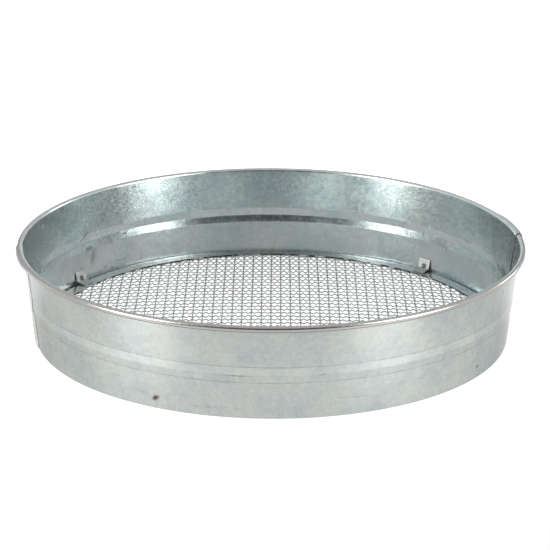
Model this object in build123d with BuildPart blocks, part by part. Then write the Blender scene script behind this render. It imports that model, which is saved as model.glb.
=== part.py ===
"""Round soil sieve: a galvanised sheet drum in two lapped halves, with a woven wire
mesh held between the drum's turned-in flange and a retaining ring under four clips.

Z is up, the origin is the centre of the bottom edge, and sizes are in millimetres.
"""

import os
from math import asin, atan2, cos, degrees, hypot, radians, sin, sqrt

from build123d import *

# Drum: radii and heights are of the middle of the sheet
SHEET = 0.6
RIM_DIAMETER = 356.0
HEIGHT = 67.6
CURL_DIAMETER = 4.3
CURL_TURN = 300
WIDE_CURL_TURN = 285
BOTTOM_RADIUS = 166.9
BEAD_BOTTOM = (169.25, 26.3)
BEAD_RIDGE = (170.75, 31.8)
BEAD_TOP = (170.5, 37.3)
BEND_RADIUS = 1.2
FLANGE_RADIUS = 163.0

# Laps: each half is the inner sheet at its start and the outer sheet at its end
LAP_START = 5.0
LAP = 10.0
LAP_GAP = 0.15
LAP_END_GAP = 0.3
OUTER_SHEET_FOOT = 1.0

# Woven mesh, domed upwards
WIRE = 1.0
PITCH = 7.0
MESH_RADIUS = 164.2
DOME = 6.0
LAYER_GAP = 0.02
SEAT_GAP = 0.05

# Retaining ring
RING_SHEET = 0.7
RING_LEG_RADIUS = 165.3
RING_INNER_RADIUS = 156.65
RING_RISE = 1.0
RING_BEND = 1.1
RING_LIFT = 0.3

# Clips
CLIP_SHEET = 0.6
CLIP_WIDTH = 10.5
CLIP_LEG = 7.8
CLIP_FOOT = 7.5
CLIP_BEND = 2.0
CLIP_GAP = 0.08
REAR_CLIPS = {"clip_rear_right": 45.7, "clip_rear_left": 148.4}
FRONT_CLIPS = {"clip_front_left": 243.7, "clip_front_right": 325.8}

curl_radius = (CURL_DIAMETER - SHEET) / 2
curl_centre = (RIM_DIAMETER - CURL_DIAMETER) / 2
curl_height = HEIGHT - CURL_DIAMETER / 2
lap_step = SHEET + LAP_GAP
half_shift = lap_step / 2
flange_height = SHEET / 2

# Above the bead the wall runs straight to where it meets the curl
across = curl_centre - BEAD_TOP[0]
up = curl_height - BEAD_TOP[1]
to_curl = hypot(across, up)
wall_angle = degrees(atan2(up, across) + asin(curl_radius / to_curl))
wall_length = sqrt(to_curl**2 - curl_radius**2)


def radial_plane(angle, shift):
    """The upright plane through a half's axis, with its x axis pointing outwards."""
    turn = radians(angle)
    return Plane(
        origin=(shift, 0, 0),
        x_dir=(cos(turn), sin(turn), 0),
        z_dir=(sin(turn), -cos(turn), 0),
    )


def upright(shift):
    """The upright line that a half's sheet is turned about."""
    return Axis((shift, 0, 0), (0, 0, 1))


def drum_section(plane, foot, curl, turn):
    """The drum's sheet in section: its foot, the bead, the wall and the rolled rim."""
    with BuildSketch(plane) as section:
        with BuildLine():
            bends = FilletPolyline(
                *foot, BEAD_BOTTOM, BEAD_RIDGE, BEAD_TOP,
                PolarLine(BEAD_TOP, wall_length, wall_angle, mode=Mode.PRIVATE) @ 1,
                radius=BEND_RADIUS,
            )
            JernArc(bends @ 1, bends % 1, curl, -turn)
            offset(amount=SHEET / 2, side=Side.BOTH)
        make_face()
    return section.sketch


FLANGED_FOOT = ((FLANGE_RADIUS, flange_height), (BOTTOM_RADIUS, flange_height))
PLAIN_FOOT = ((BOTTOM_RADIUS, OUTER_SHEET_FOOT),)


def turned_sheet(start, arc, shift, foot, curl=curl_radius, turn=CURL_TURN):
    """Turn the drum's section about its half's axis, into the part being built."""
    section = drum_section(radial_plane(start, shift), foot, curl, turn)
    revolve(section, axis=upright(shift), revolution_arc=arc)


def drum_half(start, shift):
    """One half of the drum: inside the other at its start, outside it at its end.

    Inside, its rolled rim is wider and goes round the other half's. Outside, its
    flange is cut away to make room for the other half's.
    """
    inner_arc = LAP + LAP_END_GAP
    middle_arc = 180 - inner_arc
    wide_curl = curl_radius + lap_step
    turned_sheet(start, inner_arc, shift, FLANGED_FOOT, wide_curl, WIDE_CURL_TURN)
    turned_sheet(start + inner_arc, middle_arc, shift, FLANGED_FOOT)
    turned_sheet(start + 180, LAP, shift, PLAIN_FOOT)


# Rear half of the drum
with BuildPart() as wall_rear_half:
    drum_half(LAP_START, -half_shift)
wall_rear_half.part.label = "wall_rear_half"

# Front half of the drum, the same pressing turned half a turn
with BuildPart() as wall_front_half:
    drum_half(LAP_START + 180, half_shift)
wall_front_half.part.label = "wall_front_half"

# Wires of the mesh: each is one arc, so that all of them lie on a shallow dome
wires_each_side = int(MESH_RADIUS / PITCH)
wire_places = [PITCH * i for i in range(-wires_each_side, wires_each_side + 1)]
warp_height = SHEET + SEAT_GAP + WIRE / 2
weft_height = warp_height + WIRE + LAYER_GAP


def wire_path(place, height, direction):
    """The arc of the wire that crosses the mesh at a place, along X or along Y."""
    half_length = sqrt(MESH_RADIUS**2 - place**2)
    rise = DOME * (half_length / MESH_RADIUS) ** 2
    ends = ((-half_length, height), (0, height + rise), (half_length, height))
    if direction == "x":
        return ThreePointArc(*[(along, place, z) for along, z in ends])
    return ThreePointArc(*[(place, along, z) for along, z in ends])


def wire_layer(height, direction):
    """All the wires that run one way."""
    for place in wire_places:
        with BuildLine() as path:
            wire_path(place, height, direction)
        with BuildSketch(Plane(origin=path.line @ 0, z_dir=path.line % 0)) as section:
            Circle(WIRE / 2)
        sweep(section.sketch, path=path.line)


with BuildPart() as warp_wires:
    wire_layer(warp_height, "y")
warp_wires.part.label = "warp_wires"

with BuildPart() as weft_wires:
    wire_layer(weft_height, "x")
weft_wires.part.label = "weft_wires"

# Retaining ring: an outer leg that reaches down to the flange, and a face sloping inwards,
# with the square edges of sheared strip
mesh_top = weft_height + WIRE / 2 + DOME * (1 - (RING_INNER_RADIUS / MESH_RADIUS) ** 2)
ring_inner_height = mesh_top + SEAT_GAP + RING_SHEET / 2
ring_shoulder_height = ring_inner_height + RING_RISE
ring_leg_foot = SHEET + RING_LIFT

with BuildPart() as retaining_ring:
    with BuildSketch(Plane.XZ):
        with BuildLine():
            FilletPolyline(
                (RING_LEG_RADIUS, ring_leg_foot),
                (RING_LEG_RADIUS, ring_shoulder_height),
                (RING_INNER_RADIUS, ring_inner_height),
                radius=RING_BEND,
            )
        trace(line_width=RING_SHEET)
    revolve(axis=Axis.Z)
retaining_ring.part.label = "retaining_ring"

# Clips: a leg spot-welded to the wall, and a foot that presses on the ring
wall_lean = (BEAD_BOTTOM[0] - BOTTOM_RADIUS) / (BEAD_BOTTOM[1] - flange_height)
ring_slope = RING_RISE / (RING_LEG_RADIUS - RING_INNER_RADIUS)
corner_gap = CLIP_WIDTH**2 / 8 / BOTTOM_RADIUS
wall_radius = BOTTOM_RADIUS + wall_lean * ring_shoulder_height
leg_radius = wall_radius - (SHEET + CLIP_SHEET) / 2 - corner_gap - CLIP_GAP
ring_to_foot = (RING_SHEET + CLIP_SHEET) / 2 + CLIP_GAP
foot_height = ring_shoulder_height + ring_slope * (leg_radius - RING_LEG_RADIUS) + ring_to_foot


def clip(angle, shift):
    """One clip, against the wall at an angle round the drum."""
    with BuildSketch(radial_plane(angle, shift)) as section:
        with BuildLine():
            FilletPolyline(
                (leg_radius + wall_lean * CLIP_LEG, foot_height + CLIP_LEG),
                (leg_radius, foot_height),
                (leg_radius - CLIP_FOOT, foot_height - ring_slope * CLIP_FOOT),
                radius=CLIP_BEND,
            )
            offset(amount=CLIP_SHEET / 2, side=Side.BOTH, kind=Kind.INTERSECTION)
        make_face()
    extrude(section.sketch, amount=CLIP_WIDTH / 2, both=True)


with BuildPart() as clip_rear_right:
    clip(REAR_CLIPS["clip_rear_right"], -half_shift)
clip_rear_right.part.label = "clip_rear_right"

with BuildPart() as clip_rear_left:
    clip(REAR_CLIPS["clip_rear_left"], -half_shift)
clip_rear_left.part.label = "clip_rear_left"

with BuildPart() as clip_front_left:
    clip(FRONT_CLIPS["clip_front_left"], half_shift)
clip_front_left.part.label = "clip_front_left"

with BuildPart() as clip_front_right:
    clip(FRONT_CLIPS["clip_front_right"], half_shift)
clip_front_right.part.label = "clip_front_right"

os.makedirs("parts", exist_ok=True)
export_step(wall_rear_half.part, "parts/wall_rear_half.step")
export_step(wall_front_half.part, "parts/wall_front_half.step")
export_step(warp_wires.part, "parts/warp_wires.step")
export_step(weft_wires.part, "parts/weft_wires.step")
export_step(retaining_ring.part, "parts/retaining_ring.step")
export_step(clip_rear_right.part, "parts/clip_rear_right.step")
export_step(clip_rear_left.part, "parts/clip_rear_left.step")
export_step(clip_front_left.part, "parts/clip_front_left.step")
export_step(clip_front_right.part, "parts/clip_front_right.step")
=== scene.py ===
"""Round soil sieve: a galvanised drum in two lapped halves with a woven wire mesh under a
retaining ring and four spot-welded clips, standing on a pale floor.

Sizes in the settings are in metres. Lengths named _MM are in millimetres, and angles outside
the settings are in degrees.
"""

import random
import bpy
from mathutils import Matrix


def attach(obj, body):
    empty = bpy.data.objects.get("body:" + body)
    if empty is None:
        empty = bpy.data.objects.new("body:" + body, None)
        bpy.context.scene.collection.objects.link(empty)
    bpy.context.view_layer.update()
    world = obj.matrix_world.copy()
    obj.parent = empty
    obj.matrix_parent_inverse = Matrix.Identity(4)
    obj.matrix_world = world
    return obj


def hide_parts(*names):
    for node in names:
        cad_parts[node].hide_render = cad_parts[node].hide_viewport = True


bl_info = {
    "name": "Soil Sieve",
    "version": (1, 0, 0),
    "blender": (4, 5, 0),
    "location": "View3D > Sidebar > Soil Sieve",
    "description": "Builds a round galvanised soil sieve around its packed CAD frame",
    "category": "Object",
}

from math import atan2, ceil, cos, degrees, hypot, pi, radians, sin, sqrt, tan

import bmesh
import bpy
from bpy.props import FloatProperty, FloatVectorProperty, IntProperty, PointerProperty
from mathutils import Matrix, Vector

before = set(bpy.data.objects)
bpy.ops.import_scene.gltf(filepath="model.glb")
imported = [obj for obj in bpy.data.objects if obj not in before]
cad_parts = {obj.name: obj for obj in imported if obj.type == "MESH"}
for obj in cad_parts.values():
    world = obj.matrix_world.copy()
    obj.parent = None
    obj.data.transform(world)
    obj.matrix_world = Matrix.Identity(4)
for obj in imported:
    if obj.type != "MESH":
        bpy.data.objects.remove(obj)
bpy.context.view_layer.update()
MM = 0.001
# Width of a sheet's broken edge, and steps in a tight bend
BROKEN_EDGE = 0.00012
BEND_STEPS = 6

# Drum section, middle of the sheet, as radius and height
BOTTOM_MM = (166.9, 0.3)
BEAD_BOTTOM_MM = (169.25, 26.3)
BEAD_RIDGE_MM = (170.75, 31.8)
BEAD_TOP_MM = (170.5, 37.3)
CURL_CENTRE_MM = (175.85, 65.45)
CURL_RADIUS_MM = 1.85
WIDE_CURL_RADIUS_MM = 2.6
CURL_START = 172.94
CURL_TURN = 300.0
CURL_STEPS = 22
FLANGE_MM = 163.0
SHEET_BEND_MM = 1.2
LAP_START = 5.0
LAP = 10.0
LAP_SHIFT_MM = 0.375
PLAIN_FOOT_MM = 1.0
FOOT_END = 180.5
DRUM_RUN_MM = 4.0
FLAT_FACE_WEIGHT = 90
# A half's curl is wide over the lap that it starts with, and its edge stands open a little there
CURL_MATCH_MM = 0.05
WIDE_PAST_LAP = 0.3
WIDE_FADE = 9.0
OPEN_FADE = 9.0
OPEN_FROM_TURN = 240

# Retaining ring and clips
RING_LEG_MM = (165.3, 0.9)
RING_SHOULDER_MM = (165.3, 4.61)
RING_INNER_MM = (156.65, 3.61)
RING_BEND_MM = 1.1
RING_RUN_MM = 3.0
RING_STEPS = 320
CLIP_LEG_RADIUS_MM = 166.55
CLIP_FOOT_HEIGHT_MM = 5.5
CLIP_LEG_MM = 7.8
CLIP_WELD_HEIGHT_MM = 8.0
CLIP_FOOT_MM = 7.5
CLIP_BEND_MM = 2.0
CLIP_RUN_MM = 0.6
CLIP_COLUMNS = 16
CLIP_BROKEN_EDGE = 0.00014
WELD_DIMPLE = 0.0002
CLIPS = {
    "clip_rear_right": (45.7, -LAP_SHIFT_MM),
    "clip_rear_left": (148.4, -LAP_SHIFT_MM),
    "clip_front_left": (243.7, LAP_SHIFT_MM),
    "clip_front_right": (325.8, LAP_SHIFT_MM),
}

# Mesh
MESH_RADIUS_MM = 164.2
MESH_EDGE_HEIGHT_MM = 1.66
DOME_MM = 6.0
# Half waves of a wire's crimp in one pitch, and how far and over what run a wire sways
HALF_WAVES = 3
SWAY_MM = (0.04, 0.16)
SWAY_RUN_MM = 37
WEAVE_SEED = 7

# Stage
FLOOR_SIZE = 9.0
FLOOR_HEIGHT = -0.0003
WARM_WHITE = (1.0, 0.985, 0.96)
LAMP_DISTANCE = 1.6
LAMP_AIM = (0, 0, 0.05)
# Lamps: name, angle, height, width, tallness, share of the power, lean
LAMPS = [
    ("softbox_left", 209.5, 0.62, 0.64, 1.05, 1.05, -34.0),
    ("softbox_right", -30.0, 0.62, 0.80, 1.05, 1.0, 36.0),
    ("panel_rear_right", 34.0, 0.46, 0.26, 0.34, 0.16, 0.0),
]
CAMERA_PLACE = (0.00274, -1.6031, 0.5969)
SENSOR_MM = 36.0
# Walls: the direction's Y where they are dark and where they are pale, and their light at each
WALL_LIGHT = (-0.80, -0.42, 0.07, 0.95)
WALL_WHITE = (0.93, 0.97, 1.0, 1.0)


class SieveDrumSettings(bpy.types.PropertyGroup):
    """Sizes and colours of the drum's sheet."""

    sheet: FloatProperty(
        name="Sheet", description="Thickness of the drum's sheet", default=0.0006, unit="LENGTH"
    )
    facets: IntProperty(
        name="Steps", description="Steps round half of the drum", default=190, min=24
    )
    flare: FloatProperty(
        name="Flare", description="How far the rim opens at a lap", default=0.0002, unit="LENGTH"
    )
    zinc: FloatVectorProperty(
        name="Zinc", description="Colour of the galvanised sheet", default=(0.50, 0.535, 0.52),
        subtype="COLOR", size=3,
    )
    cool: FloatVectorProperty(
        name="Cool mottle", description="Colour of its cooler patches", default=(0.43, 0.485, 0.49),
        subtype="COLOR", size=3,
    )
    warm: FloatVectorProperty(
        name="Warm mottle", description="Colour of its warmer patches", default=(0.53, 0.545, 0.525),
        subtype="COLOR", size=3,
    )
    roughness: FloatProperty(
        name="Roughness", description="Roughness of the zinc", default=0.21, min=0.0, max=1.0
    )


class SieveRingSettings(bpy.types.PropertyGroup):
    """Sizes of the retaining ring and the clips."""

    ring_sheet: FloatProperty(
        name="Ring strip", description="Thickness of the ring", default=0.0007, unit="LENGTH"
    )
    clip_sheet: FloatProperty(
        name="Clip strip", description="Thickness of a clip", default=0.0006, unit="LENGTH"
    )
    clip_width: FloatProperty(
        name="Clip width", description="Width of a clip", default=0.0105, unit="LENGTH"
    )
    weld: FloatProperty(
        name="Weld", description="Radius of a spot weld's dimple", default=0.0021, unit="LENGTH"
    )


class SieveMeshSettings(bpy.types.PropertyGroup):
    """Sizes and colour of the woven wires."""

    wire: FloatProperty(
        name="Wire", description="Diameter of a wire", default=0.001, unit="LENGTH"
    )
    pitch: FloatProperty(
        name="Pitch", description="Distance from wire to wire", default=0.007, unit="LENGTH"
    )
    crimp_steps: IntProperty(
        name="Crimp steps", description="Points along one crimp", default=6, min=4
    )
    colour: FloatVectorProperty(
        name="Wire", description="Colour of the wire", default=(0.42, 0.44, 0.44),
        subtype="COLOR", size=3,
    )


class SieveStageSettings(bpy.types.PropertyGroup):
    """Floor, lights and camera."""

    floor: FloatVectorProperty(
        name="Floor", description="Colour of the floor", default=(0.12, 0.12, 0.12),
        subtype="COLOR", size=3,
    )
    softbox: FloatProperty(
        name="Softboxes", description="Power of the two side lights", default=20.0, unit="POWER"
    )
    lens: FloatProperty(
        name="Lens", description="Focal length of the camera, in millimetres", default=157.1
    )
    tilt: FloatProperty(
        name="Tilt", description="How far the camera looks down", default=radians(19.12),
        subtype="ANGLE",
    )
    roll: FloatProperty(
        name="Roll", description="How far the camera leans", default=0.0045, subtype="ANGLE"
    )


# Shapes


def rounded(points, radius, steps=4):
    """The line through points, with each corner turned into an arc."""
    line = [points[0]]
    for before, corner, after in zip(points, points[1:], points[2:]):
        back = (Vector(before) - Vector(corner)).normalized()
        on = (Vector(after) - Vector(corner)).normalized()
        half = back.angle(on) / 2
        reach = radius / tan(half)
        centre = Vector(corner) + (back + on).normalized() * radius / sin(half)
        first = Vector(corner) + back * reach - centre
        last = Vector(corner) + on * reach - centre
        for i in range(steps + 1):
            spoke = first.slerp(last, i / steps)
            line.append(tuple(centre + spoke))
    line.append(points[-1])
    return line


def divided(points, longest):
    """The line through points, with no run over a length."""
    line = [points[0]]
    for a, b in zip(points, points[1:]):
        parts = max(1, ceil(hypot(b[0] - a[0], b[1] - a[1]) / longest))
        for i in range(1, parts + 1):
            line.append((a[0] + (b[0] - a[0]) * i / parts, a[1] + (b[1] - a[1]) * i / parts))
    return line


def curl_point(angle):
    """A point on the middle line of the drum's curl, as radius and height."""
    turn = radians(angle)
    return (
        CURL_CENTRE_MM[0] + CURL_RADIUS_MM * cos(turn),
        CURL_CENTRE_MM[1] + CURL_RADIUS_MM * sin(turn),
    )


def drum_line():
    """The drum's sheet from the end of its curl down to the edge of its flange."""
    curl = [curl_point(CURL_START - CURL_TURN * (1 - i / CURL_STEPS)) for i in range(CURL_STEPS + 1)]
    wall = rounded(
        [curl[-1], BEAD_TOP_MM, BEAD_RIDGE_MM, BEAD_BOTTOM_MM, BOTTOM_MM, (FLANGE_MM, BOTTOM_MM[1])],
        SHEET_BEND_MM,
    )
    return curl[:-1] + divided(wall, DRUM_RUN_MM)


def linked(name, data):
    """An object that holds the data, in the scene."""
    piece = bpy.data.objects.new(name, data)
    bpy.context.scene.collection.objects.link(piece)
    return piece


def put_in_place(data, angle, shift_mm):
    """Turns a mesh about the sieve's axis, then shifts it with its half of the drum."""
    place = Matrix.Translation((shift_mm * MM, 0, 0))
    data.transform(place @ Matrix.Rotation(radians(angle), 4, "Z"))


def profile_object(name, points_mm):
    """A line of edges in the XZ plane, to be turned by Screw."""
    data = bpy.data.meshes.new(name)
    verts = [(r * MM, 0.0, z * MM) for r, z in points_mm]
    data.from_pydata(verts, [(i, i + 1) for i in range(len(verts) - 1)], [])
    return linked(name, data)


def screw(piece, angle, steps, close=False):
    """Turns a profile about the sieve's axis."""
    turn = piece.modifiers.new("Turn", "SCREW")
    turn.axis = "Z"
    turn.angle = angle
    turn.steps = turn.render_steps = steps
    turn.use_merge_vertices = close
    turn.merge_threshold = 1e-6
    turn.use_smooth_shade = True


def thicken(piece, thickness, edge):
    """Gives a sheet its thickness and a slightly broken edge."""
    sheet = piece.modifiers.new("Sheet", "SOLIDIFY")
    sheet.thickness = thickness
    sheet.offset = 0.0
    sheet.use_even_offset = True
    worn = piece.modifiers.new("Worn edge", "BEVEL")
    worn.width = edge
    worn.segments = 2
    worn.limit_method = "ANGLE"
    worn.angle_limit = radians(50)
    worn.harden_normals = True


def apply_stack(piece):
    """Puts the result of a piece's modifiers in its mesh."""
    graph = bpy.context.evaluated_depsgraph_get()
    made = bpy.data.meshes.new_from_object(piece.evaluated_get(graph))
    piece.modifiers.clear()
    old = piece.data
    piece.data = made
    made.name = piece.name
    bpy.data.meshes.remove(old)
    return made


def finished(piece, material, slot_name, *nodes):
    """Gives a piece its material and its place in the frame."""
    piece.data.materials.clear()
    piece.data.materials.append(material)
    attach(piece, "root")
    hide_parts(*nodes)


def drum_half(name, start, shift_mm, settings):
    """One half of the drum: turned past half way, with its lap ends shaped, then placed."""
    piece = profile_object(name, drum_line())
    screw(piece, radians(180 + LAP), settings.facets)
    data = apply_stack(piece)
    wall_top = Vector(curl_point(CURL_START))
    shaped = bmesh.new()
    shaped.from_mesh(data)
    foot_in_lap = []
    for vert in shaped.verts:
        along = degrees(atan2(vert.co.y, vert.co.x)) % 360
        radius, height = hypot(vert.co.x, vert.co.y) / MM, vert.co.z / MM
        # The first column can come out just short of a full turn
        if along > 359:
            along = 0.0
        if along > FOOT_END and height < PLAIN_FOOT_MM:
            foot_in_lap.append(vert)
            continue
        out = Vector((radius, height)) - Vector(CURL_CENTRE_MM)
        if abs(out.length - CURL_RADIUS_MM) > CURL_MATCH_MM:
            continue
        turned = (CURL_START - degrees(atan2(out.y, out.x))) % 360
        # Beyond the middle of the curl's open gap, a point belongs to the wall
        if turned > (CURL_TURN + 360) / 2:
            continue
        wide = 1 - min(1.0, max(0.0, (along - LAP - WIDE_PAST_LAP) / WIDE_FADE))
        wide = wide * wide * (3 - 2 * wide)
        grown = 1 + (WIDE_CURL_RADIUS_MM / CURL_RADIUS_MM - 1) * wide
        spot = wall_top + (Vector((radius, height)) - wall_top) * grown
        opened = max(0.0, 1 - along / OPEN_FADE) ** 2 * settings.flare / MM
        spot.x += opened * min(1.0, turned / OPEN_FROM_TURN)
        scale = spot.x / radius
        vert.co.x *= scale
        vert.co.y *= scale
        vert.co.z = spot.y * MM
    bmesh.ops.delete(shaped, geom=foot_in_lap, context="VERTS")
    shaped.to_mesh(data)
    shaped.free()
    put_in_place(data, start, shift_mm)
    thicken(piece, settings.sheet, BROKEN_EDGE)
    piece.modifiers.new("Flat faces", "WEIGHTED_NORMAL").weight = FLAT_FACE_WEIGHT
    return piece


def clip_line():
    """The middle line of a clip, from the top of its leg down and in along its foot."""
    lean = (BEAD_BOTTOM_MM[0] - BOTTOM_MM[0]) / (BEAD_BOTTOM_MM[1] - BOTTOM_MM[1])
    slope = (RING_SHOULDER_MM[1] - RING_INNER_MM[1]) / (RING_SHOULDER_MM[0] - RING_INNER_MM[0])
    top = (CLIP_LEG_RADIUS_MM + lean * CLIP_LEG_MM, CLIP_FOOT_HEIGHT_MM + CLIP_LEG_MM)
    toe = (CLIP_LEG_RADIUS_MM - CLIP_FOOT_MM, CLIP_FOOT_HEIGHT_MM - slope * CLIP_FOOT_MM)
    corner = (CLIP_LEG_RADIUS_MM, CLIP_FOOT_HEIGHT_MM)
    return divided(rounded([top, corner, toe], CLIP_BEND_MM, BEND_STEPS), CLIP_RUN_MM)


def clip_strip(name, line, settings):
    """A strip that follows a clip's line, dimpled where it is welded."""
    half = settings.clip_width / 2
    verts, faces = [], []
    for radius, height in line:
        for i in range(CLIP_COLUMNS + 1):
            across = -half + 2 * half * i / CLIP_COLUMNS
            from_weld = hypot(across, (height - CLIP_WELD_HEIGHT_MM) * MM) / settings.weld
            dimple = WELD_DIMPLE * max(0.0, 1 - from_weld**2)
            verts.append((radius * MM + dimple, across, height * MM))
    for row in range(len(line) - 1):
        for i in range(CLIP_COLUMNS):
            a = row * (CLIP_COLUMNS + 1) + i
            faces.append((a, a + CLIP_COLUMNS + 1, a + CLIP_COLUMNS + 2, a + 1))
    data = bpy.data.meshes.new(name)
    data.from_pydata(verts, [], faces)
    data.shade_smooth()
    return data


def wire_points(way, number, chance, settings):
    """One wire's points: crimped over and under the wires it crosses, and swaying a little."""
    pitch = settings.pitch / MM
    amplitude = settings.wire / MM / 2
    step = pitch * 2 / HALF_WAVES / settings.crimp_steps
    place = number * pitch
    count = int(sqrt(MESH_RADIUS_MM**2 - place**2) / step)
    phase = chance.uniform(0, 2 * pi)
    sway = chance.uniform(*SWAY_MM)
    sign = -1 if way == "warp" else 1
    points = []
    for i in range(-count, count + 1):
        along = i * step
        side = place + sway * sin(along / SWAY_RUN_MM + phase)
        dome = DOME_MM * (1 - (along**2 + place**2) / MESH_RADIUS_MM**2)
        crimp = sign * (-1) ** number * amplitude * cos(HALF_WAVES * pi * along / pitch)
        height = MESH_EDGE_HEIGHT_MM + dome + crimp
        spot = (along, side, height) if way == "weft" else (side, along, height)
        points.extend([c * MM for c in spot] + [1.0])
    return points


# Materials


class Finish:
    """A material and short ways to add its nodes."""

    def __init__(self, name):
        self.material = bpy.data.materials.new(name)
        self.material.use_nodes = True
        self.tree = self.material.node_tree
        self.shader = self.tree.nodes["Principled BSDF"]
        place = self.tree.nodes.new("ShaderNodeTexCoord").outputs["Object"]
        self.mm = self.vector("SCALE", place, 1 / MM)

    def feed(self, socket, value):
        if isinstance(value, bpy.types.NodeSocket):
            self.tree.links.new(value, socket)
        else:
            socket.default_value = value

    def made(self, colour, roughness, normal, metallic):
        """The material, once its main values have reached the shader."""
        values = {"Base Color": colour, "Roughness": roughness, "Normal": normal, "Metallic": metallic}
        for name, value in values.items():
            self.feed(self.shader.inputs[name], value)
        return self.material

    def math(self, operation, *values, clamp=False):
        node = self.tree.nodes.new("ShaderNodeMath")
        node.operation = operation
        node.use_clamp = clamp
        for socket, value in zip(node.inputs, values):
            self.feed(socket, value)
        return node.outputs[0]

    def added(self, total, *values):
        for value in values:
            total = self.math("ADD", total, value)
        return total

    def product(self, total, *values):
        for value in values:
            total = self.math("MULTIPLY", total, value)
        return total

    def vector(self, operation, first, second=None):
        node = self.tree.nodes.new("ShaderNodeVectorMath")
        node.operation = operation
        self.feed(node.inputs[0], first)
        if operation == "SCALE":
            self.feed(node.inputs["Scale"], second)
        elif second is not None:
            self.feed(node.inputs[1], second)
        return node.outputs["Value" if operation in ("LENGTH", "DOT_PRODUCT") else "Vector"]

    def noise(self, size_mm, detail=3.0, roughness=0.55, stretch=None, colour=False):
        node = self.tree.nodes.new("ShaderNodeTexNoise")
        where = self.mm if stretch is None else self.vector("MULTIPLY", self.mm, stretch)
        self.feed(node.inputs["Vector"], where)
        node.inputs["Scale"].default_value = 1 / size_mm
        node.inputs["Detail"].default_value = detail
        node.inputs["Roughness"].default_value = roughness
        return node.outputs["Color" if colour else "Fac"]

    def patches(self, size_mm, detail, roughness, low, high, least, most, stretch=None):
        """Noise made into patches: least where it is below low, most where it is above high."""
        cover = self.noise(size_mm, detail, roughness, stretch)
        return self.between(cover, low, high, least, most)

    def frayed(self, size_mm, detail, roughness, reach_mm):
        """The place on the piece, pushed about by noise so that a mark there has a ragged edge."""
        push = self.noise(size_mm, detail, roughness, colour=True)
        push = self.vector("SUBTRACT", push, (0.5, 0.5, 0.5))
        return self.vector("ADD", self.mm, self.vector("SCALE", push, reach_mm))

    def spangle(self, size_mm):
        """The crystals of hot-dip zinc: a value of its own for each grain."""
        node = self.tree.nodes.new("ShaderNodeTexVoronoi")
        bend = self.vector("SCALE", self.noise(size_mm * 1.6, 2.0, colour=True), size_mm * 1.1)
        self.feed(node.inputs["Vector"], self.vector("ADD", self.mm, bend))
        node.inputs["Scale"].default_value = 1 / size_mm
        split = self.tree.nodes.new("ShaderNodeSeparateColor")
        self.tree.links.new(node.outputs["Color"], split.inputs[0])
        return split.outputs[0]

    def between(self, value, low, high, to_low=0.0, to_high=1.0):
        node = self.tree.nodes.new("ShaderNodeMapRange")
        node.interpolation_type = "SMOOTHSTEP"
        for socket, number in zip(node.inputs, (value, low, high, to_low, to_high)):
            self.feed(socket, number)
        return node.outputs[0]

    def band(self, value, rise, fall):
        """1 between a rise and a fall. Each is where the band is 0, then where it is 1."""
        return self.product(self.between(value, *rise), self.between(value, *fall))

    def mix(self, share, first, second):
        node = self.tree.nodes.new("ShaderNodeMix")
        node.data_type = "RGBA"
        self.feed(node.inputs["Factor"], share)
        for socket, value in ((node.inputs[6], first), (node.inputs[7], second)):
            if not isinstance(value, bpy.types.NodeSocket):
                value = (*value, 1.0)
            self.feed(socket, value)
        return node.outputs[2]

    def coated(self, body, *coats):
        """A colour under coats, each a share and a colour."""
        for share, colour in coats:
            body = self.mix(share, body, colour)
        return body

    def from_middle(self, where, place, turn, size):
        """How far a point is from the middle of an ellipsoid, where 1 is on its skin."""
        node = self.tree.nodes.new("ShaderNodeMapping")
        node.vector_type = "TEXTURE"
        self.feed(node.inputs["Vector"], where)
        node.inputs["Location"].default_value = place
        node.inputs["Rotation"].default_value = turn
        node.inputs["Scale"].default_value = size
        return self.vector("LENGTH", node.outputs[0])

    def mark(self, where, angle, radius_mm, height_mm, length_mm, width_mm, lean, soft):
        """A patch on an upright wall: 1 in its middle, 0 outside it."""
        turn = radians(angle)
        along = Vector((-sin(turn), cos(turn), 0))
        outwards = Vector((cos(turn), sin(turn), 0))
        axes = Matrix((along, Vector((0, 0, 1)), outwards)).transposed()
        axes = axes @ Matrix.Rotation(radians(lean), 3, "Z")
        place = (*(outwards * radius_mm).xy, height_mm)
        size = (length_mm / 2, width_mm / 2, MARK_DEPTH_MM)
        return self.between(self.from_middle(where, place, axes.to_euler(), size), 1.0, 1.0 - soft)

    def marks(self, where, rows):
        """The strongest of several patches. A row ends with its strength."""
        total = 0.0
        for *row, strength in rows:
            total = self.math("MAXIMUM", total, self.product(self.mark(where, *row), strength))
        return total

    def bump(self, height, distance_mm, strength=1.0, below=None):
        node = self.tree.nodes.new("ShaderNodeBump")
        self.feed(node.inputs["Height"], height)
        node.inputs["Distance"].default_value = distance_mm * MM
        node.inputs["Strength"].default_value = strength
        if below is not None:
            self.tree.links.new(below, node.inputs["Normal"])
        return node.outputs[0]


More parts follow.
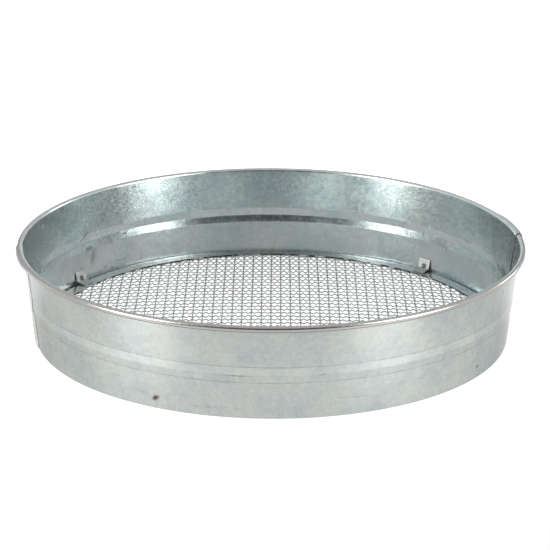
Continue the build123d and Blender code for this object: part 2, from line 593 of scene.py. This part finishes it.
# Marks: angle, radius, height, length, width, lean, softness, strength
MARK_DEPTH_MM = 4.0
INNER_STAINS = [
    (142.5, 168.8, 19.0, 9.0, 20.0, 25.0, 1.0, 0.75),
    (143.6, 169.0, 26.5, 12.0, 6.0, 0.0, 1.0, 0.7),
    (133.2, 167.9, 10.5, 17.0, 3.0, -7.0, 1.0, 0.5),
    (39.0, 169.2, 26.5, 9.0, 4.0, 10.0, 1.0, 0.4),
    (13.5, 170.8, 34.0, 4.0, 3.0, 0.0, 0.8, 0.7),
]
INNER_SCRATCHES = [
    (145.2, 170.6, 36.0, 15.0, 0.9, -24.0, 0.7, 0.9),
    (144.0, 170.6, 38.4, 13.0, 0.7, -27.0, 0.7, 0.9),
    (138.6, 167.6, 7.2, 15.0, 0.8, -37.0, 0.7, 0.7),
    (135.5, 168.3, 15.5, 13.0, 0.6, -33.0, 0.7, 0.5),
    (29.3, 167.6, 8.2, 0.7, 7.0, 0.0, 0.7, 0.7),
    (31.3, 170.6, 38.0, 5.0, 1.2, 15.0, 0.7, 0.6),
    (36.3, 173.4, 60.5, 4.0, 1.4, 5.0, 0.7, 0.5),
]
OUTER_STAINS = [
    (-97.5, 171.2, 31.2, 32.0, 2.0, 0.0, 1.0, 0.6),
    (-78.5, 171.2, 31.8, 10.0, 1.6, 0.0, 1.0, 0.5),
    (-106.6, 167.9, 6.2, 4.5, 2.2, 0.0, 1.0, 0.35),
    (-103.8, 167.9, 7.0, 4.5, 2.2, 0.0, 1.0, 0.35),
    (62.0, 170.0, 18.0, 26.0, 5.0, 12.0, 1.0, 0.35),
    (118.0, 172.6, 50.0, 14.0, 9.0, 0.0, 1.0, 0.3),
]
OUTER_SCRATCHES = [
    (-132.3, 168.9, 16.6, 5.0, 0.6, 20.0, 0.7, 0.7),
    (-126.8, 169.0, 18.0, 10.5, 0.5, -3.0, 0.7, 0.6),
    (-120.5, 168.3, 11.0, 20.0, 0.4, -20.0, 0.7, 0.5),
    (-69.4, 168.5, 12.8, 57.0, 0.6, -4.4, 0.7, 0.35),
    (70.0, 168.5, 15.0, 30.0, 0.5, 9.0, 0.7, 0.4),
    (108.0, 172.8, 52.0, 18.0, 0.5, -14.0, 0.7, 0.4),
]
# Painted light on the left lap's cut end, pale and matt
CUT_EDGE_LIGHT_MARKS = [
    (-165.0, 168.4, 15.0, 1.6, 44.0, 0.0, 0.3, 1.0),
    (-165.0, 172.0, 47.0, 1.6, 48.0, 0.0, 0.3, 1.0),
]
WELD_BURNS = [
    (-116.5, 167.9, 8.0, 8.4, 5.4, 35.0, 0.8, 1.0),
    (-115.6, 168.1, 9.6, 4.0, 1.6, 35.0, 1.0, 0.6),
    (-116.1, 167.6, 3.9, 1.3, 1.1, 0.0, 0.8, 0.9),
    (-34.2, 168.1, 9.3, 3.8, 3.0, 0.0, 0.8, 1.0),
    (45.7, 168.2, 8.0, 3.4, 2.8, 20.0, 0.9, 0.8),
    (148.4, 168.2, 8.0, 3.2, 3.0, 0.0, 0.9, 0.8),
]
RING_RUST = [(130.4, 158.4, 3.9, 7.0, 5.0, 0.0, 1.0, 0.6)]
# Round each clip's weld: length, width, lean, softness, strength
WELD_DEPTH_MM = 0.2
WELD_SCORCH = (5.4, 4.6, 0.0, 0.35, 1.0)
WELD_MIDDLE = (2.2, 1.8, 0.0, 0.8, 0.55)
WELD_TINT = (9.0, 8.0, 0.0, 0.9, 0.4)
# Ragged outlines of marks: size, detail, roughness, reach
RAGGED = (2.4, 3.0, 0.6, 2.2)
STEADY = (6.0, 2.0, 0.55, 0.9)

# Zinc: its crystals, and its noises by size, detail and roughness
GRAIN_MM = 1.5
FLECK_MM = 3.4
CLOUD = (34.0, 3.0, 0.6)
HAZE = (13.0, 4.0, 0.62)
SPECKLE = (0.7, 2.0, 0.6)
WAVES = (24.0, 2.0, 0.5)
CLOUD_EDGES = (0.36, 0.64)
HAZE_EDGES = (0.35, 0.7)
# What each of them adds to the zinc's shade, roughness and relief
LEAST_SHADE = 0.85
GRAIN_SHADE = 0.10
FLECK_SHADE = 0.07
SPECKLE_SHADE = 0.14
GRAIN_ROUGHNESS = 0.08
HAZE_ROUGHNESS = 0.10
GRAIN_RELIEF = 0.4
FLECK_RELIEF = 0.3
# Reliefs: depth in millimetres, strength
WAVE_RELIEF = (0.3, 0.6)
ZINC_RELIEF = (0.027, 0.8)
SCRATCH_RELIEF = (0.12, 0.7)
WIRE_RELIEF = (0.03, 0.6)

# Patches: size, detail, roughness, the noise they start at and are full at, least, most, stretch
BREAK_UP = (3.0, 4.0, 0.7, 0.3, 0.55, 0.5, 1.0)
STREAKS = (3.0, 2.0, 0.5, 0.60, 0.78, 0.0, 0.22, (1.0, 1.0, 0.06))
SPECKS = (2.2, 2.0, 0.6, 0.76, 0.82, 0.0, 0.5)
RIM_WEAR = (18.0, 3.0, 0.55, 0.25, 0.6, 0.55, 1.0)
CREASE_SHADE_BREAKUP = (9.0, 3.0, 0.6, 0.35, 0.6, 0.10, 0.34)
GROOVE_REFLECTION_BREAKUP = (2.6, 4.0, 0.7, 0.35, 0.6, 0.45, 0.85)
LOW_DIRT = (7.0, 5.0, 0.7, 0.56, 0.72, 0.0, 0.34, (1.0, 1.0, 0.7))
RING_SOIL = (5.0, 4.0, 0.7, 0.56, 0.74, 0.0, 0.5)
RING_GAP_SHADOW_BREAKUP = (5.5, 3.0, 0.6, 0.42, 0.52, 0.1, 1.0)
SCORCH_WEAR = (1.6, 3.0, 0.6, 0.3, 0.6, 0.75, 1.0)
WIRE_AGE = (22.0, 3.0, 0.6, 0.5, 0.75, 0.0, 0.45)
FLOOR_TONE = (400.0, 2.0, 0.55, 0.3, 0.7, 0.985, 1.0)

# Where bands run round the drum, the ring and the clips: 0 at the first number, 1 at the second
RIM_RADIUS_MM = (173.9, 174.9)
BEAD_FACE_MM = ((31.4, 32.0), (37.6, 37.0))
BEAD_TOP_CREASE_MM = ((36.7, 37.3), (38.1, 37.4))
BEAD_FOOT_CREASE_MM = ((25.7, 26.2), (27.0, 26.4))
GROOVE_MM = ((26.4, 27.2), (31.9, 31.2))
GROOVE_BACK_MM = (150.0, 163.0)
LOW_DIRT_MM = (50.0, 25.0)
CREVICE_MM = ((62.0, 62.9), (64.6, 63.6))
RING_GAP_RADIUS_MM = (157.75, 157.0)
CLIP_FOOT_TOP_MM = (7.2, 5.9)

# Colours, and how strongly some of them cover
# Painted shade on the drum's outside and painted light on its inside, one zinc sheet
OUTSIDE_PAINTED_SHADE = (0.81, 0.80, 0.79)
INSIDE_PAINTED_LIGHT = (1.05, 1.075, 1.095)
STREAK_GREY = (0.36, 0.39, 0.39)
STAIN_BROWN = (0.12, 0.11, 0.097)
SCRATCH_GREY = (0.09, 0.09, 0.085)
SPECK_RUST = (0.33, 0.27, 0.20)
BURN_BROWN = (0.10, 0.065, 0.035)
RIM_GREY = (0.40, 0.37, 0.355)
RIM_COVER = 0.75
# Painted highlight on the bead's upper face, outside
BEAD_PAINTED_HIGHLIGHT = 1.09
# Painted shade in the bead's creases
CREASE_PAINTED_SHADE = (0.13, 0.12, 0.11)
# Painted dark reflection in the groove inside, at the back
GROOVE_PAINTED_REFLECTION = (0.06, 0.06, 0.06)
HANDLING_DIRT = (0.20, 0.19, 0.175)
# Painted shade under the curl, with grime
CREVICE_SHADE_AND_GRIME = (0.06, 0.06, 0.058)
CREVICE_COVER = 0.42
# Painted light on the left lap's cut end
CUT_EDGE_PAINTED_LIGHT = (0.74, 0.73, 0.71)
RING_SOIL_GREY = (0.30, 0.30, 0.28)
RING_RUST_BROWN = (0.34, 0.25, 0.18)
# Painted shadow in the gap under the ring's inner edge
RING_GAP_PAINTED_SHADOW = (0.012, 0.012, 0.012)
WELD_STRAW = (0.46, 0.42, 0.36)
WELD_BLACK = (0.045, 0.033, 0.020)
# Painted shade on the clips' feet
CLIP_FOOT_PAINTED_SHADE = 0.66
WIRE_BROWN = (0.30, 0.27, 0.23)
WIRE_DARK = 0.74

# Brightness and shine of each finish, and what its marks and edges change
DRUM_METALLIC = 0.95
CUT_EDGE_DULLS = 0.9
MARK_ROUGHNESS = 0.22
OUTSIDE_GLANCE = 0.6
RING_BRIGHTNESS = 0.94
RING_METALLIC = 0.88
CLIP_BRIGHTNESS = 0.9
CLIP_METALLIC = 0.6
CLIP_ROUGHNESS = 0.18
WIRE_METALLIC = 0.85
# Wire: its noises, and where the first of them darkens it and changes its roughness
WIRE_NOISE = (4.0, 4.0, 0.65)
WIRE_GRAIN = (0.6, 2.0)
WIRE_DARK_EDGES = (0.3, 0.7)
WIRE_ROUGHNESS = (0.2, 0.8, 0.32, 0.55)

# Painted light in the floor's glow: where it changes, in millimetres, and its strength before and
# after
FLOOR_PAINTED_LIGHT = (258.0, 302.0, 1.08, 0.83)
REAR_PAINTED_LIGHT = (-25.0, 70.0, 0.0, 0.7)
CLEAR_OF_DRUM_MM = (172.0, 184.0)
# Painted pools of lamp light in the floor's glow: angle round the sieve, and direction of the pool
PAINTED_LAMP_POOLS = [(-50.0, -34.0), (-134.0, 210.0)]
POOL_RADIUS_MM = 325.0
POOL_SIZE_MM = (215.0, 95.0, 1.0)
# Where a pool starts and is full, as shares of its size, and its light at each
POOL_PAINTED_LIGHT = (1.0, 0.1, 0.0, 0.80)
FLOOR_ROUGHNESS = 0.9
FLOOR_SPECULAR = 0.1

UP = (0.0, 0.0, 1.0)
BACK = (0.0, 1.0, 0.0)
LEVEL = (1.0, 1.0, 0.0)


def galvanised(name, settings, brightness=1.0):
    """Hot-dip zinc on sheet: fine grains, soft cool and warm mottles, small specks."""
    finish = Finish(name)
    grain = finish.spangle(GRAIN_MM)
    fleck = finish.spangle(FLECK_MM)
    cloud = finish.noise(*CLOUD)
    haze = finish.noise(*HAZE)
    speckle = finish.noise(*SPECKLE)
    body = finish.mix(finish.between(cloud, *CLOUD_EDGES), settings.cool[:], settings.warm[:])
    body = finish.mix(finish.between(haze, *HAZE_EDGES), body, settings.zinc[:])
    shade = finish.added(
        finish.product(grain, GRAIN_SHADE),
        finish.product(fleck, FLECK_SHADE),
        finish.product(speckle, SPECKLE_SHADE),
        LEAST_SHADE,
    )
    body = finish.vector("SCALE", body, finish.product(shade, brightness))
    polish = finish.added(
        finish.product(grain, GRAIN_ROUGHNESS),
        settings.roughness - GRAIN_ROUGHNESS,
        finish.product(haze, HAZE_ROUGHNESS),
    )
    relief = finish.added(
        finish.product(grain, GRAIN_RELIEF), speckle, finish.product(fleck, FLECK_RELIEF)
    )
    waves = finish.bump(finish.noise(*WAVES), *WAVE_RELIEF)
    normal = finish.bump(relief, *ZINC_RELIEF, waves)
    return finish, body, polish, normal


def banded(finish, body, flat, outside, inside):
    """The drum's colour with what runs round it: a worn rim, a painted highlight on the bead, painted
    shade in its creases, a painted dark reflection in the groove at the back, dirt low inside, and
    painted shade with grime under the curl.
    """
    height = finish.vector("DOT_PRODUCT", finish.mm, UP)
    back = finish.vector("DOT_PRODUCT", finish.mm, BACK)
    at_rim = finish.between(finish.vector("LENGTH", flat), *RIM_RADIUS_MM)
    rim = finish.product(at_rim, finish.patches(*RIM_WEAR), RIM_COVER)
    body = finish.mix(rim, body, RIM_GREY)
    # Painted highlight: the upper face of the bead, outside, is made brighter
    bead_highlight = finish.product(finish.band(height, *BEAD_FACE_MM), outside)
    body = finish.mix(bead_highlight, body, finish.vector("SCALE", body, BEAD_PAINTED_HIGHLIGHT))
    # Painted shade: dark lines along the bead's top and foot creases, outside
    creases = finish.math(
        "MAXIMUM",
        finish.band(height, *BEAD_TOP_CREASE_MM),
        finish.band(height, *BEAD_FOOT_CREASE_MM),
    )
    creases = finish.product(creases, outside, finish.patches(*CREASE_SHADE_BREAKUP))
    # Painted reflection: a dark, broken strip in the inner groove at the back
    at_back = finish.between(back, *GROOVE_BACK_MM)
    groove = finish.product(
        finish.band(height, *GROOVE_MM), at_back, inside, finish.patches(*GROOVE_REFLECTION_BREAKUP)
    )
    dirt = finish.product(finish.patches(*LOW_DIRT), inside, finish.between(height, *LOW_DIRT_MM))
    # Painted shade with grime: a dark band on the outside at the foot of the curl
    crevice = finish.product(finish.band(height, *CREVICE_MM), outside, CREVICE_COVER)
    return finish.coated(
        body,
        (creases, CREASE_PAINTED_SHADE),
        (groove, GROOVE_PAINTED_REFLECTION),
        (dirt, HANDLING_DIRT),
        (crevice, CREVICE_SHADE_AND_GRIME),
    )


def drum_finish(settings):
    """The drum's zinc, with its stains, scratches and weld burns, painted shade and light on its
    outside and inside, and painted light on one lap's cut edge.
    """
    finish, body, polish, normal = galvanised("galvanised_drum", settings)
    ragged = finish.frayed(*RAGGED)
    steady = finish.frayed(*STEADY)
    flat = finish.vector("MULTIPLY", finish.mm, LEVEL)
    # 1 on the outside of the drum, 0 on its inside
    facing = finish.tree.nodes.new("ShaderNodeNewGeometry").outputs["True Normal"]
    outside = finish.math("GREATER_THAN", finish.vector("DOT_PRODUCT", facing, flat), 0.0)
    inside = finish.math("SUBTRACT", 1.0, outside)
    break_up = finish.patches(*BREAK_UP)

    def either_side(where, inner_rows, outer_rows):
        inner = finish.product(inside, finish.marks(where, inner_rows), break_up)
        outer = finish.product(outside, finish.marks(where, outer_rows), break_up)
        return finish.math("MAXIMUM", inner, outer)

    stain = either_side(ragged, INNER_STAINS, OUTER_STAINS)
    scratch = either_side(steady, INNER_SCRATCHES, OUTER_SCRATCHES)
    burn = finish.product(outside, finish.marks(ragged, WELD_BURNS))
    # Painted shade and light: the outside of the sheet is painted darker, the inside paler and cooler
    body = finish.mix(outside, body, finish.vector("MULTIPLY", body, OUTSIDE_PAINTED_SHADE))
    body = finish.mix(inside, body, finish.vector("MULTIPLY", body, INSIDE_PAINTED_LIGHT))
    body = finish.coated(
        body,
        (finish.patches(*STREAKS), STREAK_GREY),
        (stain, STAIN_BROWN),
        (scratch, SCRATCH_GREY),
        (finish.patches(*SPECKS), SPECK_RUST),
        (burn, BURN_BROWN),
    )
    body = banded(finish, body, flat, outside, inside)
    # Painted light: the left lap's cut end is painted pale and matt to lift its dark line
    cut_edge_light = finish.marks(finish.mm, CUT_EDGE_LIGHT_MARKS)
    body = finish.mix(cut_edge_light, body, CUT_EDGE_PAINTED_LIGHT)
    spoiled = finish.math("MAXIMUM", stain, burn)
    polish = finish.added(polish, finish.product(spoiled, MARK_ROUGHNESS))
    normal = finish.bump(finish.math("SUBTRACT", 1.0, scratch), *SCRATCH_RELIEF, normal)
    glance = finish.between(outside, 0.0, 1.0, 1.0, OUTSIDE_GLANCE)
    finish.feed(finish.shader.inputs["Specular Tint"], glance)
    metallic = finish.math("SUBTRACT", DRUM_METALLIC, finish.product(cut_edge_light, CUT_EDGE_DULLS))
    return finish.made(body, polish, normal, metallic)


def ring_finish(settings):
    """The ring's zinc: a little darker, with a spot of rust near the left rear clip."""
    finish, body, polish, normal = galvanised("galvanised_ring", settings, RING_BRIGHTNESS)
    # A painted shadow in the gap under the inner edge: black, broken up by noise patches
    flat = finish.vector("MULTIPLY", finish.mm, LEVEL)
    edge = finish.between(finish.vector("LENGTH", flat), *RING_GAP_RADIUS_MM)
    body = finish.coated(
        body,
        (finish.patches(*RING_SOIL), RING_SOIL_GREY),
        (finish.marks(finish.mm, RING_RUST), RING_RUST_BROWN),
        (finish.product(edge, finish.patches(*RING_GAP_SHADOW_BREAKUP)), RING_GAP_PAINTED_SHADOW),
    )
    return finish.made(body, polish, normal, RING_METALLIC)


def clip_finish(settings):
    """Clip steel: dull zinc with a burnt ring round each spot weld."""
    finish, body, polish, normal = galvanised("clip_steel", settings, CLIP_BRIGHTNESS)
    weld_place = (CLIP_LEG_RADIUS_MM - WELD_DEPTH_MM, CLIP_WELD_HEIGHT_MM)

    def round_welds(shape):
        return finish.marks(finish.mm, [(angle, *weld_place, *shape) for angle, _ in CLIPS.values()])

    burnt = finish.math("SUBTRACT", round_welds(WELD_SCORCH), round_welds(WELD_MIDDLE), clamp=True)
    burnt = finish.product(burnt, finish.patches(*SCORCH_WEAR))
    body = finish.coated(body, (round_welds(WELD_TINT), WELD_STRAW), (burnt, WELD_BLACK))
    # Painted shade: the foot is darker, as dark as the ring under it
    height = finish.vector("DOT_PRODUCT", finish.mm, UP)
    foot = finish.between(height, *CLIP_FOOT_TOP_MM)
    body = finish.mix(foot, body, finish.vector("SCALE", body, CLIP_FOOT_PAINTED_SHADE))
    return finish.made(body, finish.added(polish, CLIP_ROUGHNESS), normal, CLIP_METALLIC)


def wire_finish(colour):
    """Zinc-coated wire, duller and browner in places."""
    finish = Finish("zinc_wire")
    dull = finish.noise(*WIRE_NOISE)
    darker = tuple(c * WIRE_DARK for c in colour)
    body = finish.mix(finish.between(dull, *WIRE_DARK_EDGES), darker, colour[:])
    body = finish.mix(finish.patches(*WIRE_AGE), body, WIRE_BROWN)
    roughness = finish.between(dull, *WIRE_ROUGHNESS)
    normal = finish.bump(finish.noise(*WIRE_GRAIN), *WIRE_RELIEF)
    return finish.made(body, roughness, normal, WIRE_METALLIC)


def floor_finish(colour):
    """A pale floor whose glow is painted light: brightest near the sieve, behind it and in painted
    pools where the side lamps fall.
    """
    finish = Finish("pale_floor")
    tone = finish.patches(*FLOOR_TONE)
    outwards = finish.vector("LENGTH", finish.mm)
    behind = finish.between(finish.vector("DOT_PRODUCT", finish.mm, BACK), *REAR_PAINTED_LIGHT)
    clear = finish.between(outwards, *CLEAR_OF_DRUM_MM)
    glow = finish.added(finish.between(outwards, *FLOOR_PAINTED_LIGHT), finish.product(behind, clear))
    for angle, direction in PAINTED_LAMP_POOLS:
        turn = radians(angle)
        place = (POOL_RADIUS_MM * cos(turn), POOL_RADIUS_MM * sin(turn), 0)
        spread = finish.from_middle(finish.mm, place, (0, 0, radians(direction)), POOL_SIZE_MM)
        glow = finish.added(glow, finish.between(spread, *POOL_PAINTED_LIGHT))
    finish.feed(finish.shader.inputs["Base Color"], finish.vector("SCALE", tuple(colour), tone))
    finish.shader.inputs["Roughness"].default_value = FLOOR_ROUGHNESS
    finish.shader.inputs["Specular IOR Level"].default_value = FLOOR_SPECULAR
    finish.shader.inputs["Emission Color"].default_value = (1, 1, 1, 1)
    finish.feed(finish.shader.inputs["Emission Strength"], glow)
    return finish.material


def studio_walls(tree):
    """Pale walls and ceiling all round, but for a dark room in front."""
    place = tree.nodes.new("ShaderNodeTexCoord").outputs["Generated"]
    split = tree.nodes.new("ShaderNodeSeparateXYZ")
    tree.links.new(place, split.inputs[0])
    pale = tree.nodes.new("ShaderNodeMapRange")
    pale.interpolation_type = "SMOOTHSTEP"
    tree.links.new(split.outputs["Y"], pale.inputs[0])
    for i, number in enumerate(WALL_LIGHT, 1):
        pale.inputs[i].default_value = number
    back = tree.nodes["Background"]
    back.inputs["Color"].default_value = WALL_WHITE
    tree.links.new(pale.outputs[0], back.inputs["Strength"])


# Operators


class SIEVE_OT_drum(bpy.types.Operator):
    """Make the two lapped halves of the drum"""

    bl_idname = "sieve.drum"
    bl_label = "Drum Halves"

    def execute(self, context):
        settings = context.scene.sieve_drum
        material = drum_finish(settings)
        for name, start, shift in (
            ("wall_rear_half", LAP_START, -LAP_SHIFT_MM),
            ("wall_front_half", LAP_START + 180, LAP_SHIFT_MM),
        ):
            piece = drum_half("drum_" + name, start, shift, settings)
            finished(piece, material, "galvanised_sheet", name)
        return {"FINISHED"}


class SIEVE_OT_ring(bpy.types.Operator):
    """Make the retaining ring that lies on the edge of the mesh"""

    bl_idname = "sieve.ring"
    bl_label = "Retaining Ring"

    def execute(self, context):
        line = rounded([RING_LEG_MM, RING_SHOULDER_MM, RING_INNER_MM], RING_BEND_MM, BEND_STEPS)
        piece = profile_object("ring_over_mesh", divided(line, RING_RUN_MM))
        screw(piece, 2 * pi, RING_STEPS, close=True)
        thicken(piece, context.scene.sieve_ring.ring_sheet, BROKEN_EDGE)
        finished(piece, ring_finish(context.scene.sieve_drum), "galvanised_ring", "retaining_ring")
        return {"FINISHED"}


class SIEVE_OT_clips(bpy.types.Operator):
    """Make the four clips that hold the ring down"""

    bl_idname = "sieve.clips"
    bl_label = "Clips"

    def execute(self, context):
        settings = context.scene.sieve_ring
        material = clip_finish(context.scene.sieve_drum)
        line = clip_line()
        for name, (angle, shift) in CLIPS.items():
            data = clip_strip("fixing_" + name, line, settings)
            put_in_place(data, angle, shift)
            piece = linked("fixing_" + name, data)
            thicken(piece, settings.clip_sheet, CLIP_BROKEN_EDGE)
            finished(piece, material, "clip_steel", name)
        return {"FINISHED"}


class SIEVE_OT_mesh(bpy.types.Operator):
    """Weave the crimped wires of the mesh"""

    bl_idname = "sieve.mesh"
    bl_label = "Woven Mesh"

    def execute(self, context):
        settings = context.scene.sieve_mesh
        material = wire_finish(settings.colour)
        each_side = int(MESH_RADIUS_MM / (settings.pitch / MM))
        chance = random.Random(WEAVE_SEED)
        for way in ("warp", "weft"):
            for part, numbers in (("a", range(-each_side, 0)), ("b", range(0, each_side + 1))):
                curve = bpy.data.curves.new(f"{way}_{part}", "CURVE")
                curve.dimensions = "3D"
                curve.bevel_depth = settings.wire / 2
                curve.bevel_resolution = 1
                curve.use_fill_caps = True
                for number in numbers:
                    points = wire_points(way, number, chance, settings)
                    spline = curve.splines.new("POLY")
                    # A point has four numbers, and a new spline has one point already
                    spline.points.add(len(points) // 4 - 1)
                    spline.points.foreach_set("co", points)
                    spline.use_smooth = True
                piece = linked(f"{way}_wires_{part}", curve)
                finished(piece, material, "mesh_wire", way + "_wires")
        return {"FINISHED"}


class SIEVE_OT_stage(bpy.types.Operator):
    """Add the floor, the lights and the camera"""

    bl_idname = "sieve.stage"
    bl_label = "Stage"

    def execute(self, context):
        settings = context.scene.sieve_stage
        scene = context.scene
        bpy.ops.mesh.primitive_plane_add(size=FLOOR_SIZE, location=(0, 0, FLOOR_HEIGHT))
        floor = context.object
        floor.name = "floor"
        floor.data.materials.append(floor_finish(settings.floor))

        for name, angle, height, width, tallness, share, lean in LAMPS:
            turn = radians(angle)
            lamp = bpy.data.lights.new(name, "AREA")
            lamp.shape = "RECTANGLE"
            lamp.size, lamp.size_y = width, tallness
            lamp.energy = settings.softbox * share
            lamp.color = WARM_WHITE
            piece = linked(name, lamp)
            piece.location = (LAMP_DISTANCE * cos(turn), LAMP_DISTANCE * sin(turn), height)
            aim = (Vector(LAMP_AIM) - piece.location).to_track_quat("-Z", "Y").to_matrix()
            piece.rotation_euler = (aim @ Matrix.Rotation(radians(lean), 3, "Z")).to_euler()

        world = bpy.data.worlds.new("studio")
        world.use_nodes = True
        studio_walls(world.node_tree)
        scene.world = world
        scene.view_settings.view_transform = "Standard"

        lens = bpy.data.cameras.new("camera")
        lens.lens = settings.lens
        lens.sensor_width = SENSOR_MM
        camera = linked("camera", lens)
        camera.location = CAMERA_PLACE
        turn = Matrix.Rotation(pi / 2 - settings.tilt, 3, "X") @ Matrix.Rotation(settings.roll, 3, "Z")
        camera.rotation_euler = turn.to_euler()
        scene.camera = camera
        return {"FINISHED"}


class SIEVE_PT_panel(bpy.types.Panel):
    """Lists the steps that build the sieve"""

    bl_idname = "SIEVE_PT_panel"
    bl_label = "Soil Sieve"
    bl_space_type = "VIEW_3D"
    bl_region_type = "UI"
    bl_category = "Soil Sieve"

    def draw(self, context):
        for operator in OPERATORS:
            self.layout.operator(operator.bl_idname)
        for group in GROUPS.values():
            settings = getattr(context.scene, group)
            for name in settings.__annotations__:
                self.layout.prop(settings, name)


OPERATORS = (SIEVE_OT_drum, SIEVE_OT_ring, SIEVE_OT_clips, SIEVE_OT_mesh, SIEVE_OT_stage)
GROUPS = {
    SieveDrumSettings: "sieve_drum",
    SieveRingSettings: "sieve_ring",
    SieveMeshSettings: "sieve_mesh",
    SieveStageSettings: "sieve_stage",
}
CLASSES = (*GROUPS, *OPERATORS, SIEVE_PT_panel)


def register():
    for cls in CLASSES:
        bpy.utils.register_class(cls)
    for group, name in GROUPS.items():
        setattr(bpy.types.Scene, name, PointerProperty(type=group))


def unregister():
    for name in GROUPS.values():
        delattr(bpy.types.Scene, name)
    for cls in reversed(CLASSES):
        bpy.utils.unregister_class(cls)


def main():
    register()
    bpy.ops.sieve.drum()
    bpy.ops.sieve.ring()
    bpy.ops.sieve.clips()
    bpy.ops.sieve.mesh()
    bpy.ops.sieve.stage()


if __name__ == "__main__":
    main()
